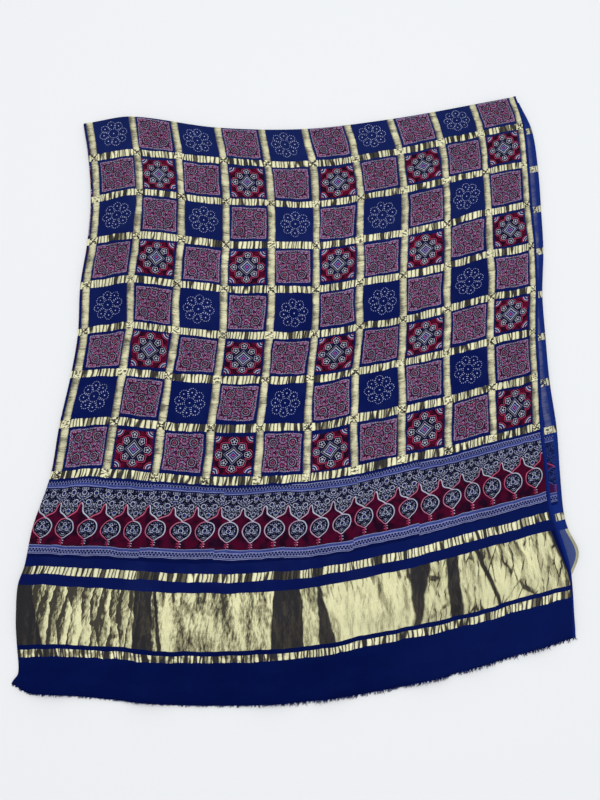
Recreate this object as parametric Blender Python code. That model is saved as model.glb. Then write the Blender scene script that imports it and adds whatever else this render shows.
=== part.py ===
"""Ajrakh cloth with woven gold checks, folded double lengthwise and once crosswise, lying flat."""

import math
import random

import bmesh
import bpy
import mathutils

# All sizes are in metres. The cloth lies on z = 0, its printed side up, and its raw end towards -Y.

# Cloth
SHEET = 0.0010
LAYER_GAP = 0.0006
LIFT = SHEET + LAYER_GAP
FOLD_TO_FIRST_BAR = 0.0065
COLUMN_PITCH = 0.0535
COLUMNS = 10
FIRST_TO_LAST_BAR = COLUMNS * COLUMN_PITCH
LAST_BAR = FOLD_TO_FIRST_BAR + FIRST_TO_LAST_BAR
FRONT_WIDTH = LAST_BAR + 0.0090
BACK_WIDTH = 0.5800
SHOWN_LENGTH = 0.6710
UNDER_LENGTH = 0.5800
EDGE_DRAW_IN = 0.05

# Frayed end
FRAY_GAP = 0.0003
FRAY_STRIP = 0.0024
LOCK_PITCH = 0.0050
LOCK_LENGTH = 0.0048
LOCK_LENGTH_SPREAD = 0.0022

# How the cloth lies, line by line of its weft from the crosswise fold to the raw end.
# along: distance from the crosswise fold. fold, last, front, back: where the lengthwise fold, the last
# gold bar, the upper selvedge and the lower selvedge lie across. y0 to y10: how far up the line lies at
# bars 0, 1, 4, 7 and 10. slip: how far the lower layer's line lies above (+) or below (-) the upper's.
WEFT_COLUMNS = ("along", "fold", "last", "front", "back", "y0", "y1", "y4", "y7", "y10", "slip")
WEFT_LINES_MM = (
    (0, -270, 268, 273, 277, 357, 366, 346, 362, 394, -8),
    (48, -260, 275, 281, 290, 310, 316, 299, 319, 351, -8),
    (104, -253, 276, 282, 293, 253, 262, 244, 264, 296, -8),
    (160, -253, 275, 281, 292, 197, 206, 189, 207, 242, -8),
    (216, -257, 276, 281, 290, 141, 148, 133, 154, 188, -8),
    (272, -255, 273, 279, 284, 83, 90, 76, 95, 131, -8),
    (328, -259, 268, 274, 283, 31, 33, 21, 44, 80, -8),
    (384, -267, 266, 272, 283, -26, -24, -34, -12, 25, -8),
    (440, -272, 263, 270, 286, -83, -82, -93, -68, -29, -7),
    (496, -286, 263, 271, 285, -140, -142, -147, -122, -82, -6),
    (540, -291, 264, 272, 285, -181, -183, -189, -166, -126, -4),
    (559, -296, 268, 277, 288, -198, -201, -209, -184, -145, -2),
    (590, -295, 276, 284, 297, -229, -231, -239, -214, -176, 2),
    (618, -292, 283, 287, 286, -260, -261, -268, -242, -204, 6),
    (645, -288, 280, 286, 284, -286, -287, -294, -270, -231, 14),
    (671, -297, 277, 286, 281, -306, -312, -319, -295, -255, 24),
)

# The soft ridges of the upper layer, each running lengthwise.
# top_u, end_u: distance from the lengthwise fold at the ridge's two ends. from_v, to_v: where it starts
# and ends along the cloth. height, left, right: its height and how wide its two flanks are.
RIDGE_COLUMNS = ("top_u", "end_u", "from_v", "to_v", "height", "left", "right")
RIDGES_MM = (
    (40, 36, 400, 700, 4.0, 26, 30),
    (120, 136, 430, 700, 5.5, 24, 34),
    (262, 253, 250, 700, 5.0, 36, 26),
    (318, 301, 470, 700, 4.0, 22, 32),
    (385, 404, 500, 690, 5.0, 30, 26),
    (440, 446, 380, 700, 4.5, 26, 30),
    (505, 512, 480, 690, 3.5, 28, 26),
    (96, 60, 60, 330, 3.0, 34, 40),
    (205, 236, 30, 420, 2.5, 40, 36),
    (352, 330, 40, 380, 3.0, 38, 44),
    (470, 495, 50, 440, 3.0, 36, 34),
)


def table(columns, rows_mm):
    """Rows of millimetres become dictionaries of metres."""
    return [{name: value / 1000 for name, value in zip(columns, row)} for row in rows_mm]


WEFT_LINES = table(WEFT_COLUMNS, WEFT_LINES_MM)
RIDGES = table(RIDGE_COLUMNS, RIDGES_MM)


def fade(value, start, end):
    """A soft step from 0 at start to 1 at end."""
    t = min(1.0, max(0.0, (value - start) / (end - start)))
    return t * t * (3 - 2 * t)


def curve_through(stations, heights, at):
    """A smooth curve through the given points, straight beyond its ends."""
    last = len(stations) - 1
    slopes = []
    for i in range(last + 1):
        low = max(i - 1, 0)
        high = min(i + 1, last)
        slopes.append((heights[high] - heights[low]) / (stations[high] - stations[low]))
    if at <= stations[0]:
        return heights[0] + slopes[0] * (at - stations[0])
    if at >= stations[last]:
        return heights[last] + slopes[last] * (at - stations[last])
    i = max(k for k in range(last) if stations[k] <= at)
    span = stations[i + 1] - stations[i]
    t = (at - stations[i]) / span
    return (
        heights[i] * (1 + 2 * t) * (1 - t) ** 2
        + slopes[i] * span * t * (1 - t) ** 2
        + heights[i + 1] * t * t * (3 - 2 * t)
        + slopes[i + 1] * span * t * t * (t - 1)
    )


def line_at(name, v):
    """One column of the weft table, read at distance v along the cloth."""
    return curve_through([line["along"] for line in WEFT_LINES], [line[name] for line in WEFT_LINES], v)


def weft_height(u, v):
    """How far up the weft line v lies where it is u from the lengthwise fold."""
    bars = [FOLD_TO_FIRST_BAR + COLUMN_PITCH * bar for bar in (0, 1, 4, 7, 10)]
    heights = [line_at(name, v) for name in ("y0", "y1", "y4", "y7", "y10")]
    return curve_through(bars, heights, u)


def front_place(u, v):
    """Where the upper layer lies: across and up."""
    fold = line_at("fold", v)
    last = line_at("last", v)
    if u > LAST_BAR:
        share = (u - LAST_BAR) / (FRONT_WIDTH - LAST_BAR)
        return last + (line_at("front", v) - last) * share, weft_height(u, v)
    share = u / LAST_BAR
    share -= EDGE_DRAW_IN * math.sin(2 * math.pi * share) / (2 * math.pi)
    return fold + (last - fold) * share, weft_height(u, v)


def back_slip(u, v):
    """How far the lower layer has slipped up past the upper one."""
    return line_at("slip", v) * fade(u, 0, 0.060)


def back_place(u, v):
    """Where the lower layer lies: across and up."""
    fold = line_at("fold", v)
    across = (line_at("back", v) - fold) * u / BACK_WIDTH
    front_u = across / (line_at("last", v) - fold) * LAST_BAR
    return fold + across, weft_height(front_u, v) + back_slip(u, v)


def ridge_height(u, v):
    """The soft ridges of the upper layer."""
    height = 0.0
    for ridge in RIDGES:
        along = (v - ridge["from_v"]) / (ridge["to_v"] - ridge["from_v"])
        crest = ridge["top_u"] + (ridge["end_u"] - ridge["top_u"]) * along
        flank = ridge["left"] if u < crest else ridge["right"]
        away = (u - crest) / flank
        if abs(away) < 1 and 0 < along < 1:
            ends = fade(along, 0, 0.35) * (1 - 0.4 * fade(along, 0.80, 1.0))
            height += ridge["height"] * ends * (1 - away * away) ** 2
    return height * fade(u, 0, 0.030) * fade(v, 0.005, 0.060)


def pile_level(v):
    """How many layers lie under the shown half: two until the hidden half ends, then none."""
    return 2 * (1 - fade(v, UNDER_LENGTH + 0.015, UNDER_LENGTH + 0.045))


def cloth_point(across, along):
    """One point of the middle of the sheet, from its place across and along the unfolded cloth."""
    side, u = across
    part, v = along
    angle = u if side == "turn" else 0.0
    plan_u = 0.0 if side == "turn" else u
    plan_v = 0.0 if part == "bend" else v
    x, y = back_place(plan_u, plan_v) if side == "back" else front_place(plan_u, plan_v)
    depth = LIFT if side == "back" else LIFT / 2 * (1 - math.cos(angle))
    x -= LIFT / 2 * math.sin(angle)
    bottom = SHEET / 2
    if part == "shown":
        level = pile_level(plan_v - back_slip(plan_u, plan_v)) if side == "back" else pile_level(plan_v)
        z = bottom + LIFT * (1 + level) - depth
        if side == "front":
            settled = fade(v, 0.659, 0.669) * fade(u, 0.030, 0.070)
            z += ridge_height(u, v) - LIFT * settled
        return x, y, z
    radius = 1.5 * LIFT - depth
    middle = bottom + 1.5 * LIFT
    if part == "bend":
        return x, y + radius * math.cos(v), middle + radius * math.sin(v)
    inset = fade(v, 0, 0.060) * (0.003 - 0.008 * plan_u / BACK_WIDTH)
    return x + inset, y, middle - radius


def spaced(start, end, pieces):
    return [start + (end - start) * i / pieces for i in range(pieces + 1)]


def across_stations():
    """From the upper selvedge over the lengthwise fold to the lower selvedge."""
    front = [("front", u) for u in reversed(spaced(0, FRONT_WIDTH, 42))]
    turn = [("turn", angle) for angle in spaced(0, math.pi, 4)[1:-1]]
    back = [("back", u) for u in spaced(0, 0.060, 5) + spaced(0.060, BACK_WIDTH, 11)[1:]]
    return front + turn + back


def along_stations():
    """From the raw end over the crosswise fold to the end of the hidden half."""
    shown = [("shown", SHOWN_LENGTH - v) for v in spaced(0, 0.231, 11)]
    shown += [("shown", v) for v in reversed(spaced(0.060, 0.384, 6))]
    shown += [("shown", v) for v in (0.030, 0.012, 0.0)]
    bend = [("bend", angle) for angle in reversed(spaced(-math.pi / 2, math.pi / 2, 6)[1:-1])]
    under = [("under", v) for v in (0.0, 0.012, 0.030)]
    under += [("under", v) for v in spaced(0.060, UNDER_LENGTH, 7)]
    return shown + bend + under


def new_object(name, form, material):
    mesh = bpy.data.meshes.new(name)
    form.to_mesh(mesh)
    form.free()
    mesh.materials.append(material)
    thing = bpy.data.objects.new(name, mesh)
    bpy.context.scene.collection.objects.link(thing)
    return thing


def cloth_material(name, colour, roughness, metallic=0.0):
    material = bpy.data.materials.new(name)
    material.use_nodes = True
    shader = material.node_tree.nodes["Principled BSDF"]
    shader.inputs["Base Color"].default_value = (*colour, 1)
    shader.inputs["Roughness"].default_value = roughness
    shader.inputs["Metallic"].default_value = metallic
    return material


def make_cloth(material):
    """The whole sheet as one folded surface, given its thickness by Solidify."""
    form = bmesh.new()
    columns = across_stations()
    rows = along_stations()
    grid = [[form.verts.new(cloth_point(column, row)) for column in columns] for row in rows]
    for low, high in zip(grid, grid[1:]):
        for i in range(len(columns) - 1):
            form.faces.new((low[i + 1], low[i], high[i], high[i + 1]))
    cloth = new_object("cloth", form, material)
    solidify = cloth.modifiers.new("Thickness", "SOLIDIFY")
    solidify.thickness = SHEET
    solidify.offset = 0.0
    solidify.use_even_offset = True
    return cloth


def strip_ring(form, near, far, angle):
    """The four corners of the strip's section, square to the sheet."""
    out = mathutils.Vector((-math.sin(angle), 0, math.cos(angle))) * SHEET / 2
    return [form.verts.new(place) for place in (near + out, near - out, far - out, far + out)]


def draw_out_lock(form, face, chance):
    """Pull one face of the strip's outer edge out into a thin, leaning lock of thread."""
    length = LOCK_LENGTH + chance.uniform(-1, 1) * LOCK_LENGTH_SPREAD
    lean = chance.uniform(-0.35, 0.35) * length
    drawn = bmesh.ops.extrude_discrete_faces(form, faces=[face])["faces"][0]
    middle = drawn.calc_center_median()
    floor = min(vert.co.z for vert in drawn.verts)
    for vert in drawn.verts:
        vert.co.x = middle.x + (vert.co.x - middle.x) * 0.45 + lean
        vert.co.y -= length
        vert.co.z = floor + (vert.co.z - floor) * 0.5


def make_frayed_end(material):
    """A narrow strip past the raw end, with short locks of loose thread drawn out of its outer edge."""
    chance = random.Random(7)
    form = bmesh.new()
    near_v = SHOWN_LENGTH + FRAY_GAP
    far_v = near_v + FRAY_STRIP
    rings = []
    has_lock = []
    columns = across_stations()
    for column, after in zip(columns, columns[1:]):
        ends = []
        for station in (column, after):
            near = mathutils.Vector(cloth_point(station, ("shown", near_v)))
            far = mathutils.Vector(cloth_point(station, ("shown", far_v)))
            angle = {"front": 0.0, "turn": station[1], "back": math.pi}[station[0]]
            ends.append((near, far, angle))
        (near, far, angle), (next_near, next_far, next_angle) = ends
        turning = angle != next_angle
        pieces = 1 if turning else 2 * max(1, round((next_near - near).length / LOCK_PITCH))
        for k in range(pieces):
            share = k / pieces
            rings.append(strip_ring(form, near.lerp(next_near, share), far.lerp(next_far, share), angle))
            has_lock.append(not turning and k % 2 == 0)
    rings.append(strip_ring(form, next_near, next_far, next_angle))
    outer_faces = []
    for ring, after, lock in zip(rings, rings[1:], has_lock):
        for k in range(4):
            face = form.faces.new((ring[k], ring[(k + 1) % 4], after[(k + 1) % 4], after[k]))
            if lock and k == 2:
                outer_faces.append(face)
    form.faces.new(rings[0])
    form.faces.new(reversed(rings[-1]))
    bmesh.ops.recalc_face_normals(form, faces=form.faces)
    for face in outer_faces:
        draw_out_lock(form, face, chance)
    return new_object("frayed_end", form, material)


def seat_on_origin(things):
    """Put the middle of the whole footprint on the origin, resting on z = 0."""
    graph = bpy.context.evaluated_depsgraph_get()
    corners = []
    for thing in things:
        evaluated = thing.evaluated_get(graph)
        mesh = evaluated.to_mesh()
        corners.extend(tuple(vert.co) for vert in mesh.vertices)
        evaluated.to_mesh_clear()
    lows = [min(corner[axis] for corner in corners) for axis in range(3)]
    highs = [max(corner[axis] for corner in corners) for axis in range(3)]
    for thing in things:
        thing.location = (-(lows[0] + highs[0]) / 2, -(lows[1] + highs[1]) / 2, -lows[2])


for thing in list(bpy.data.objects):
    bpy.data.objects.remove(thing, do_unlink=True)

navy = cloth_material("navy_cloth", (0.012, 0.018, 0.110), 0.80)
navy_thread = cloth_material("navy_thread", (0.008, 0.014, 0.085), 0.90)
seat_on_origin([make_cloth(navy), make_frayed_end(navy_thread)])
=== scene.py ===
import math
import random

import bmesh
import bpy
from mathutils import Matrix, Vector, noise


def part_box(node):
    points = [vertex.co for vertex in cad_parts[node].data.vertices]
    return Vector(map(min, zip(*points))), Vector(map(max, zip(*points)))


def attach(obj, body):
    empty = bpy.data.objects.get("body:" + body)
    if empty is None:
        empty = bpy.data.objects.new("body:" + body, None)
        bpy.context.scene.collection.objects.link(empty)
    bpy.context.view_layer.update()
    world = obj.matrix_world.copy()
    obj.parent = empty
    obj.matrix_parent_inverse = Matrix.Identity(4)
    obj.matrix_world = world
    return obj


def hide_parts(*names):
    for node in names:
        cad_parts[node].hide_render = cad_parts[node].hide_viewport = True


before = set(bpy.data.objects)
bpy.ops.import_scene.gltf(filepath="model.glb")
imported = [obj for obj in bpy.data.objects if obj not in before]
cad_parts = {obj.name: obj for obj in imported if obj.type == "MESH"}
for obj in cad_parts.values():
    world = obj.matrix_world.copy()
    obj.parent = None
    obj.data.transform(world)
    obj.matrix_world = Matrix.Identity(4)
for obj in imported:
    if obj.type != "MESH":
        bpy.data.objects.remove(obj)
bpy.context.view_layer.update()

bpy.ops.object.select_all(action="DESELECT")


# The cloth
# One length of soft plain weave, 1.14 m wide, with gold metal thread woven in as a check, two narrow
# stripes and a wide band. It is dyed navy, block printed in each square and along the end, and lies
# folded double lengthwise, with both selvedges at the right, and once crosswise at the top.

# The layers are set out for a sheet 1.0 mm thick, each one LIFT above the last, and shown thinner.
# Widths count from the lengthwise fold and lengths from the crosswise fold. TURN_WIDTH and BEND_LENGTH
# are the cloth taken up by the two folds, and CORNER_LIFT is how far the raw end's left corner is drawn up.
SHEET = 0.0010
SEEN_SHEET = 0.0007
LIFT = 0.0016
COLUMNS = 10
FOLD_TO_FIRST_BAR = 0.0065
COLUMN_PITCH = 0.0535
LAST_BAR = FOLD_TO_FIRST_BAR + COLUMNS * COLUMN_PITCH
FRONT_WIDTH = LAST_BAR + 0.0090
BACK_WIDTH = 0.5800
BACK_FLAT_WIDTH = 0.5915
TURN_WIDTH = 0.0025
BEND_LENGTH = 0.0050
SHOWN_LENGTH = 0.6710
UNDER_LENGTH = 0.5800
ROW_PITCH = 0.0560
FIRST_LINE = 0.0480
LINES_SHOWN = 8
BAR_HALF = 0.0043
CORNER_LIFT = 0.0085

# How many faces cross a bar, a square of the upper layer, a square of the lower layer and one of the
# hidden half, and how many go round each fold.
BAR_STEPS = 3
SQUARE_STEPS = 11
LOWER_STEPS = 4
HIDDEN_STEPS = 3
TURN_STEPS = 6
BEND_STEPS = 8

# How the cloth lies, line by line of its weft from the crosswise fold to the raw end.
# along: distance from the crosswise fold. fold, x2 to x8, last, front, back: where the lengthwise fold,
# the gold bars 2 to 8, the last gold bar, the upper selvedge and the lower selvedge lie across.
# y0 to y10: how far up the line lies at the bars 0, 1, 3, 5, 7, 9 and 10. slip: how far the lower
# layer's line lies above (+) or below (-) the upper's.
# x2 to x8 and y0 to y10 are a scratch program's output, from gold lines that it found in the photograph.
# Only the last row was corrected afterwards.
WEFT_COLUMNS = (
    "along", "fold", "x2", "x4", "x6", "x8", "last", "front", "back",
    "y0", "y1", "y3", "y5", "y7", "y9", "y10", "slip",
)
WEFT_LINES_MM = (
    (0, -270, -158, -48, 59, 166, 268, 273, 277, 357, 366, 350, 348, 362, 383, 394, -8),
    (48, -260, -149, -40, 69, 175, 275, 281, 290, 308, 315, 303, 300, 317, 342, 353, -8),
    (104, -253, -144, -35, 73, 178, 276, 282, 293, 251, 260, 248, 245, 263, 288, 299, -8),
    (160, -253, -142, -34, 72, 176, 275, 281, 292, 195, 203, 191, 190, 206, 232, 244, -8),
    (216, -257, -144, -34, 70, 174, 276, 281, 290, 139, 146, 134, 134, 151, 177, 189, -8),
    (272, -255, -144, -35, 68, 171, 273, 279, 284, 81, 88, 77, 78, 96, 122, 134, -8),
    (328, -259, -148, -40, 63, 167, 268, 274, 283, 30, 32, 23, 24, 43, 68, 81, -8),
    (384, -267, -154, -44, 61, 166, 266, 272, 283, -28, -25, -33, -31, -12, 13, 26, -8),
    (440, -272, -159, -47, 59, 163, 263, 270, 286, -85, -83, -91, -88, -69, -44, -31, -7),
    (496, -286, -170, -55, 54, 160, 263, 271, 285, -141, -143, -147, -142, -123, -96, -83, -6),
    (540, -291, -174, -58, 52, 160, 264, 272, 285, -182, -183, -189, -186, -167, -140, -126, -4),
    (559, -296, -177, -59, 53, 163, 268, 277, 288, -201, -202, -209, -206, -185, -158, -145, -2),
    (590, -295, -174, -55, 59, 169, 276, 284, 297, -231, -232, -239, -234, -214, -188, -175, 2),
    (618, -292, -171, -51, 64, 175, 283, 287, 286, -261, -261, -267, -262, -241, -215, -202, 6),
    (645, -288, -168, -50, 64, 174, 280, 286, 284, -288, -288, -294, -288, -269, -245, -231, 14),
    (671, -294, -175, -56, 58, 170, 277, 286, 281, -307, -310, -319, -316, -299, -271, -256, 24),
)

# The soft ridges of the upper layer, each running lengthwise: where its crest starts and ends, how high
# it is, and how far its two flanks reach.
RIDGE_COLUMNS = ("top_u", "end_u", "from_v", "to_v", "height", "left", "right")
RIDGES_MM = (
    (40, 36, 400, 700, 4.0, 26, 30),
    (116, 131, 430, 700, 5.5, 24, 34),
    (255, 246, 250, 700, 5.0, 36, 26),
    (314, 297, 470, 700, 4.0, 22, 32),
    (384, 402, 500, 690, 5.0, 30, 26),
    (439, 445, 380, 700, 4.5, 26, 30),
    (505, 511, 480, 690, 3.5, 28, 26),
    (94, 58, 60, 330, 3.0, 34, 40),
    (199, 228, 30, 420, 2.5, 40, 36),
    (349, 327, 40, 380, 3.0, 38, 44),
    (470, 495, 50, 440, 3.0, 36, 34),
)

# What is woven or printed past the last gold line: where it starts and ends past the crosswise fold,
# and how many rows of faces it has.
END_ZONES = (
    ("ground", 0.4443, 0.4470, 1),
    ("border", 0.4470, 0.5295, 20),
    ("ground", 0.5295, 0.5400, 3),
    ("weft_bar", 0.5400, 0.5482, 3),
    ("ground", 0.5482, 0.5590, 3),
    ("tissue", 0.5590, 0.6180, 24),
    ("ground", 0.6180, 0.6225, 1),
    ("weft_bar", 0.6225, 0.6295, 3),
    ("ground", 0.6295, SHOWN_LENGTH, 9),
)


def table(columns, rows_mm):
    """Rows of millimetres become dictionaries of metres."""
    return [{name: value / 1000 for name, value in zip(columns, row)} for row in rows_mm]


weft_lines = table(WEFT_COLUMNS, WEFT_LINES_MM)
ridges = table(RIDGE_COLUMNS, RIDGES_MM)


def fade(value, start, end):
    """A soft step from 0 at start to 1 at end."""
    t = min(1.0, max(0.0, (value - start) / (end - start)))
    return t * t * (3 - 2 * t)


def curve_through(stations, heights, at):
    """A smooth curve through the given points, straight beyond its ends."""
    last = len(stations) - 1
    slopes = []
    for i in range(last + 1):
        low = max(i - 1, 0)
        high = min(i + 1, last)
        slopes.append((heights[high] - heights[low]) / (stations[high] - stations[low]))
    if at <= stations[0]:
        return heights[0] + slopes[0] * (at - stations[0])
    if at >= stations[last]:
        return heights[last] + slopes[last] * (at - stations[last])
    i = max(k for k in range(last) if stations[k] <= at)
    span = stations[i + 1] - stations[i]
    t = (at - stations[i]) / span
    return (
        heights[i] * (1 + 2 * t) * (1 - t) ** 2
        + slopes[i] * span * t * (1 - t) ** 2
        + heights[i + 1] * t * t * (3 - 2 * t)
        + slopes[i + 1] * span * t * t * (t - 1)
    )


line_stations = [line["along"] for line in weft_lines]
lines_read = {}


def line_at(name, v):
    """One column of the weft table, read at distance v along the cloth."""
    if (name, v) not in lines_read:
        lines_read[name, v] = curve_through(line_stations, [line[name] for line in weft_lines], v)
    return lines_read[name, v]


bars_down = [FOLD_TO_FIRST_BAR + COLUMN_PITCH * bar for bar in (0, 1, 3, 5, 7, 9, 10)]
bars_across = [0.0] + [FOLD_TO_FIRST_BAR + COLUMN_PITCH * bar for bar in (2, 4, 6, 8, 10)]


def weft_height(u, v):
    """How far up the weft line v lies where it is u from the lengthwise fold."""
    heights = [line_at(name, v) for name in ("y0", "y1", "y3", "y5", "y7", "y9", "y10")]
    drawn_up = CORNER_LIFT * (1 - fade(u, -0.004, 0.020)) * fade(v, 0.640, SHOWN_LENGTH)
    return curve_through(bars_down, heights, u) + drawn_up


def front_place(u, v):
    """Where the upper layer lies: across and up."""
    if u > LAST_BAR:
        last = line_at("last", v)
        share = (u - LAST_BAR) / (FRONT_WIDTH - LAST_BAR)
        return last + (line_at("front", v) - last) * share, weft_height(u, v)
    places = [line_at(name, v) for name in ("fold", "x2", "x4", "x6", "x8", "last")]
    return curve_through(bars_across, places, u), weft_height(u, v)


def wander(u, v):
    """How far the threads of the upper layer wander off the measured lines: across and up."""
    inside = fade(u, 0, 0.020) * fade(FRONT_WIDTH - u, 0, 0.020)
    inside = inside * fade(v, 0, 0.030) * fade(SHOWN_LENGTH - v, 0, 0.030)
    across = noise.noise(Vector((u * 30, v * 26, 12.3))) + 0.5 * noise.noise(Vector((u * 80, v * 60, 4.1)))
    up = noise.noise(Vector((u * 26, v * 30, 31.7))) + 0.6 * noise.noise(Vector((u * 90, v * 70, 8.8)))
    return 0.0016 * across * inside, 0.0017 * up * inside


def back_slip(u, v):
    """How far the lower layer has slipped up past the upper one."""
    return line_at("slip", v) * fade(u, 0, 0.060)


def back_place(u, v):
    """Where the lower layer lies: across and up."""
    fold = line_at("fold", v)
    across = (line_at("back", v) - fold) * u / BACK_WIDTH
    front_u = across / (line_at("last", v) - fold) * LAST_BAR
    return fold + across, weft_height(front_u, v) + back_slip(u, v)


def ridge_height(u, v):
    """The soft ridges of the upper layer."""
    height = 0.0
    for ridge in ridges:
        along = (v - ridge["from_v"]) / (ridge["to_v"] - ridge["from_v"])
        crest = ridge["top_u"] + (ridge["end_u"] - ridge["top_u"]) * along
        flank = ridge["left"] if u < crest else ridge["right"]
        away = (u - crest) / flank
        if abs(away) < 1 and 0 < along < 1:
            ends = fade(along, 0, 0.35) * (1 - 0.4 * fade(along, 0.80, 1.0))
            height += ridge["height"] * ends * (1 - away * away) ** 2
    return height * fade(u, 0, 0.030) * fade(v, 0.005, 0.060)


def crumple(u, v):
    """The small unevenness of the upper layer: soft all over, and creased across the gold tissue."""
    soft = 0.0006 * (1 + noise.noise(Vector((u * 26, v * 14, 3.1))))
    soft += 0.0004 * (1 + noise.noise(Vector((u * 70, v * 40, 7.7))))
    in_end = fade(v, 0.612, 0.640)
    soft += 0.0010 * in_end * (1 + noise.noise(Vector((u * 34, v * 22, 15.0))))
    in_tissue = fade(v, 0.535, 0.566) * (1 - fade(v, 0.612, 0.630))
    lean = u + 0.12 * (v - 0.590)
    creased = 0.0022 * abs(noise.noise(Vector((lean * 55, v * 9, 1.4))))
    creased += 0.0012 * abs(noise.noise(Vector((lean * 120, v * 26, 5.2))))
    edge = fade(u, 0, 0.010) * fade(v, 0.0, 0.020)
    return (soft + in_tissue * creased) * edge


def pile_level(v):
    """How many layers lie under the shown half: two, and none a little past the hidden half's end."""
    return 2 * (1 - fade(v, UNDER_LENGTH + 0.015, UNDER_LENGTH + 0.045))


def cloth_point(across, along):
    """One point of the middle of the sheet, from its place across and along the unfolded cloth."""
    side, u = across
    part, v = along
    angle = u if side == "turn" else 0.0
    plan_u = 0.0 if side == "turn" else u
    plan_v = 0.0 if part == "bend" else v
    x, y = back_place(plan_u, plan_v) if side == "back" else front_place(plan_u, plan_v)
    depth = LIFT if side == "back" else LIFT / 2 * (1 - math.cos(angle))
    x -= LIFT / 2 * math.sin(angle)
    bottom = SHEET / 2
    if part == "shown":
        level = pile_level(plan_v - back_slip(plan_u, plan_v)) if side == "back" else pile_level(plan_v)
        z = bottom + LIFT * (1 + level) - depth
        if side == "front":
            wander_x, wander_y = wander(u, v)
            x += wander_x
            y += wander_y
            settled = fade(v, 0.659, 0.669) * fade(u, 0.030, 0.070)
            z += ridge_height(u, v) + crumple(u, v) - LIFT * settled
        return Vector((x, y, z))
    radius = 1.5 * LIFT - depth
    middle = bottom + 1.5 * LIFT
    if part == "bend":
        return Vector((x, y + radius * math.cos(v), middle + radius * math.sin(v)))
    inset = fade(v, 0, 0.060) * (0.003 - 0.008 * plan_u / BACK_WIDTH)
    return Vector((x + inset, y, middle - radius))


def spaced(start, end, pieces):
    """Even stations from start to end, both ends with them."""
    return [start + (end - start) * i / pieces for i in range(pieces + 1)]


def across_stations():
    """From the upper selvedge over the lengthwise fold to the lower selvedge: station, U and strip."""
    stations = [(("front", FRONT_WIDTH), FRONT_WIDTH, "margin")]
    for bar in range(COLUMNS, -1, -1):
        middle = FOLD_TO_FIRST_BAR + COLUMN_PITCH * bar
        for u in spaced(middle + BAR_HALF, middle - BAR_HALF, BAR_STEPS)[:-1]:
            stations.append((("front", u), u, "bar"))
        if bar:
            for u in spaced(middle - BAR_HALF, middle - COLUMN_PITCH + BAR_HALF, SQUARE_STEPS)[:-1]:
                stations.append((("front", u), u, "square %d" % (bar - 1)))
    stations.append((("front", FOLD_TO_FIRST_BAR - BAR_HALF), FOLD_TO_FIRST_BAR - BAR_HALF, "square -1"))
    for angle in spaced(0, math.pi, TURN_STEPS)[:-1]:
        stations.append((("turn", angle), -TURN_WIDTH * angle / math.pi, "square -1"))
    share = BACK_WIDTH / (BACK_FLAT_WIDTH - TURN_WIDTH)
    edge = TURN_WIDTH
    for bar in range(1, COLUMNS + 2):
        middle = COLUMN_PITCH * bar - FOLD_TO_FIRST_BAR
        for u in spaced(edge, middle - BAR_HALF, LOWER_STEPS)[:-1]:
            stations.append((("back", (u - TURN_WIDTH) * share), -u, "square %d" % -bar))
        stations.append((("back", (middle - BAR_HALF - TURN_WIDTH) * share), BAR_HALF - middle, "bar"))
        edge = middle + BAR_HALF
    stations.append((("back", (edge - TURN_WIDTH) * share), -edge, "edge"))
    stations.append((("back", BACK_WIDTH), -BACK_FLAT_WIDTH, "edge"))
    return stations


def along_stations():
    """From the raw end over the crosswise fold to the end of the hidden half: station, V and zone."""
    stations = []
    for zone, start, end, pieces in reversed(END_ZONES):
        stations += [(("shown", v), v, zone) for v in spaced(end, start, pieces)[:-1]]
    for line in range(LINES_SHOWN - 1, -1, -1):
        middle = FIRST_LINE + ROW_PITCH * line
        bar = spaced(middle + BAR_HALF, middle - BAR_HALF, BAR_STEPS)
        square = spaced(middle - BAR_HALF, max(0.0, middle - ROW_PITCH + BAR_HALF), SQUARE_STEPS)
        stations += [(("shown", v), v, "weft_bar") for v in bar[:-1]]
        stations += [(("shown", v), v, "row %d" % line) for v in square[:-1]]
    for angle in spaced(math.pi / 2, -math.pi / 2, BEND_STEPS)[:-1]:
        v = -BEND_LENGTH * (0.5 - angle / math.pi)
        stations.append((("bend", angle), v, "row 0"))
    edge = 0.0
    line = -1
    while edge < UNDER_LENGTH:
        middle = -FIRST_LINE - ROW_PITCH * line - BEND_LENGTH
        row_end = max(edge, min(middle - BAR_HALF, UNDER_LENGTH))
        if row_end > edge:
            for v in spaced(edge, row_end, HIDDEN_STEPS)[:-1]:
                stations.append((("under", v), -v - BEND_LENGTH, "row %d" % (line + 1)))
        if row_end < UNDER_LENGTH:
            stations.append((("under", row_end), -row_end - BEND_LENGTH, "weft_bar"))
        edge = middle + BAR_HALF
        line -= 1
    stations.append((("under", UNDER_LENGTH), -UNDER_LENGTH - BEND_LENGTH, "end"))
    return stations


FINISHES = ("ground", "warp_bar", "weft_bar", "rosette", "medallion", "lattice", "border", "tissue")


def finish_of(strip, zone):
    """Which finish a face has, from its strip across and its zone along."""
    if strip == "edge":
        return zone if zone in ("tissue", "weft_bar") else "ground"
    if strip == "margin":
        return "ground"
    if zone in ("border", "ground", "tissue", "weft_bar"):
        return zone
    if strip == "bar":
        return "warp_bar"
    column_odd = int(strip.split()[1]) % 2
    row_odd = int(zone.split()[1]) % 2
    if column_odd and row_odd:
        return "medallion"
    return "lattice" if column_odd or row_odd else "rosette"


# The unfolded cloth fills one square of the UV map. A Mapping node turns it back into millimetres.
UV_SPAN = 1.4
UV_LOW = -0.7


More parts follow.
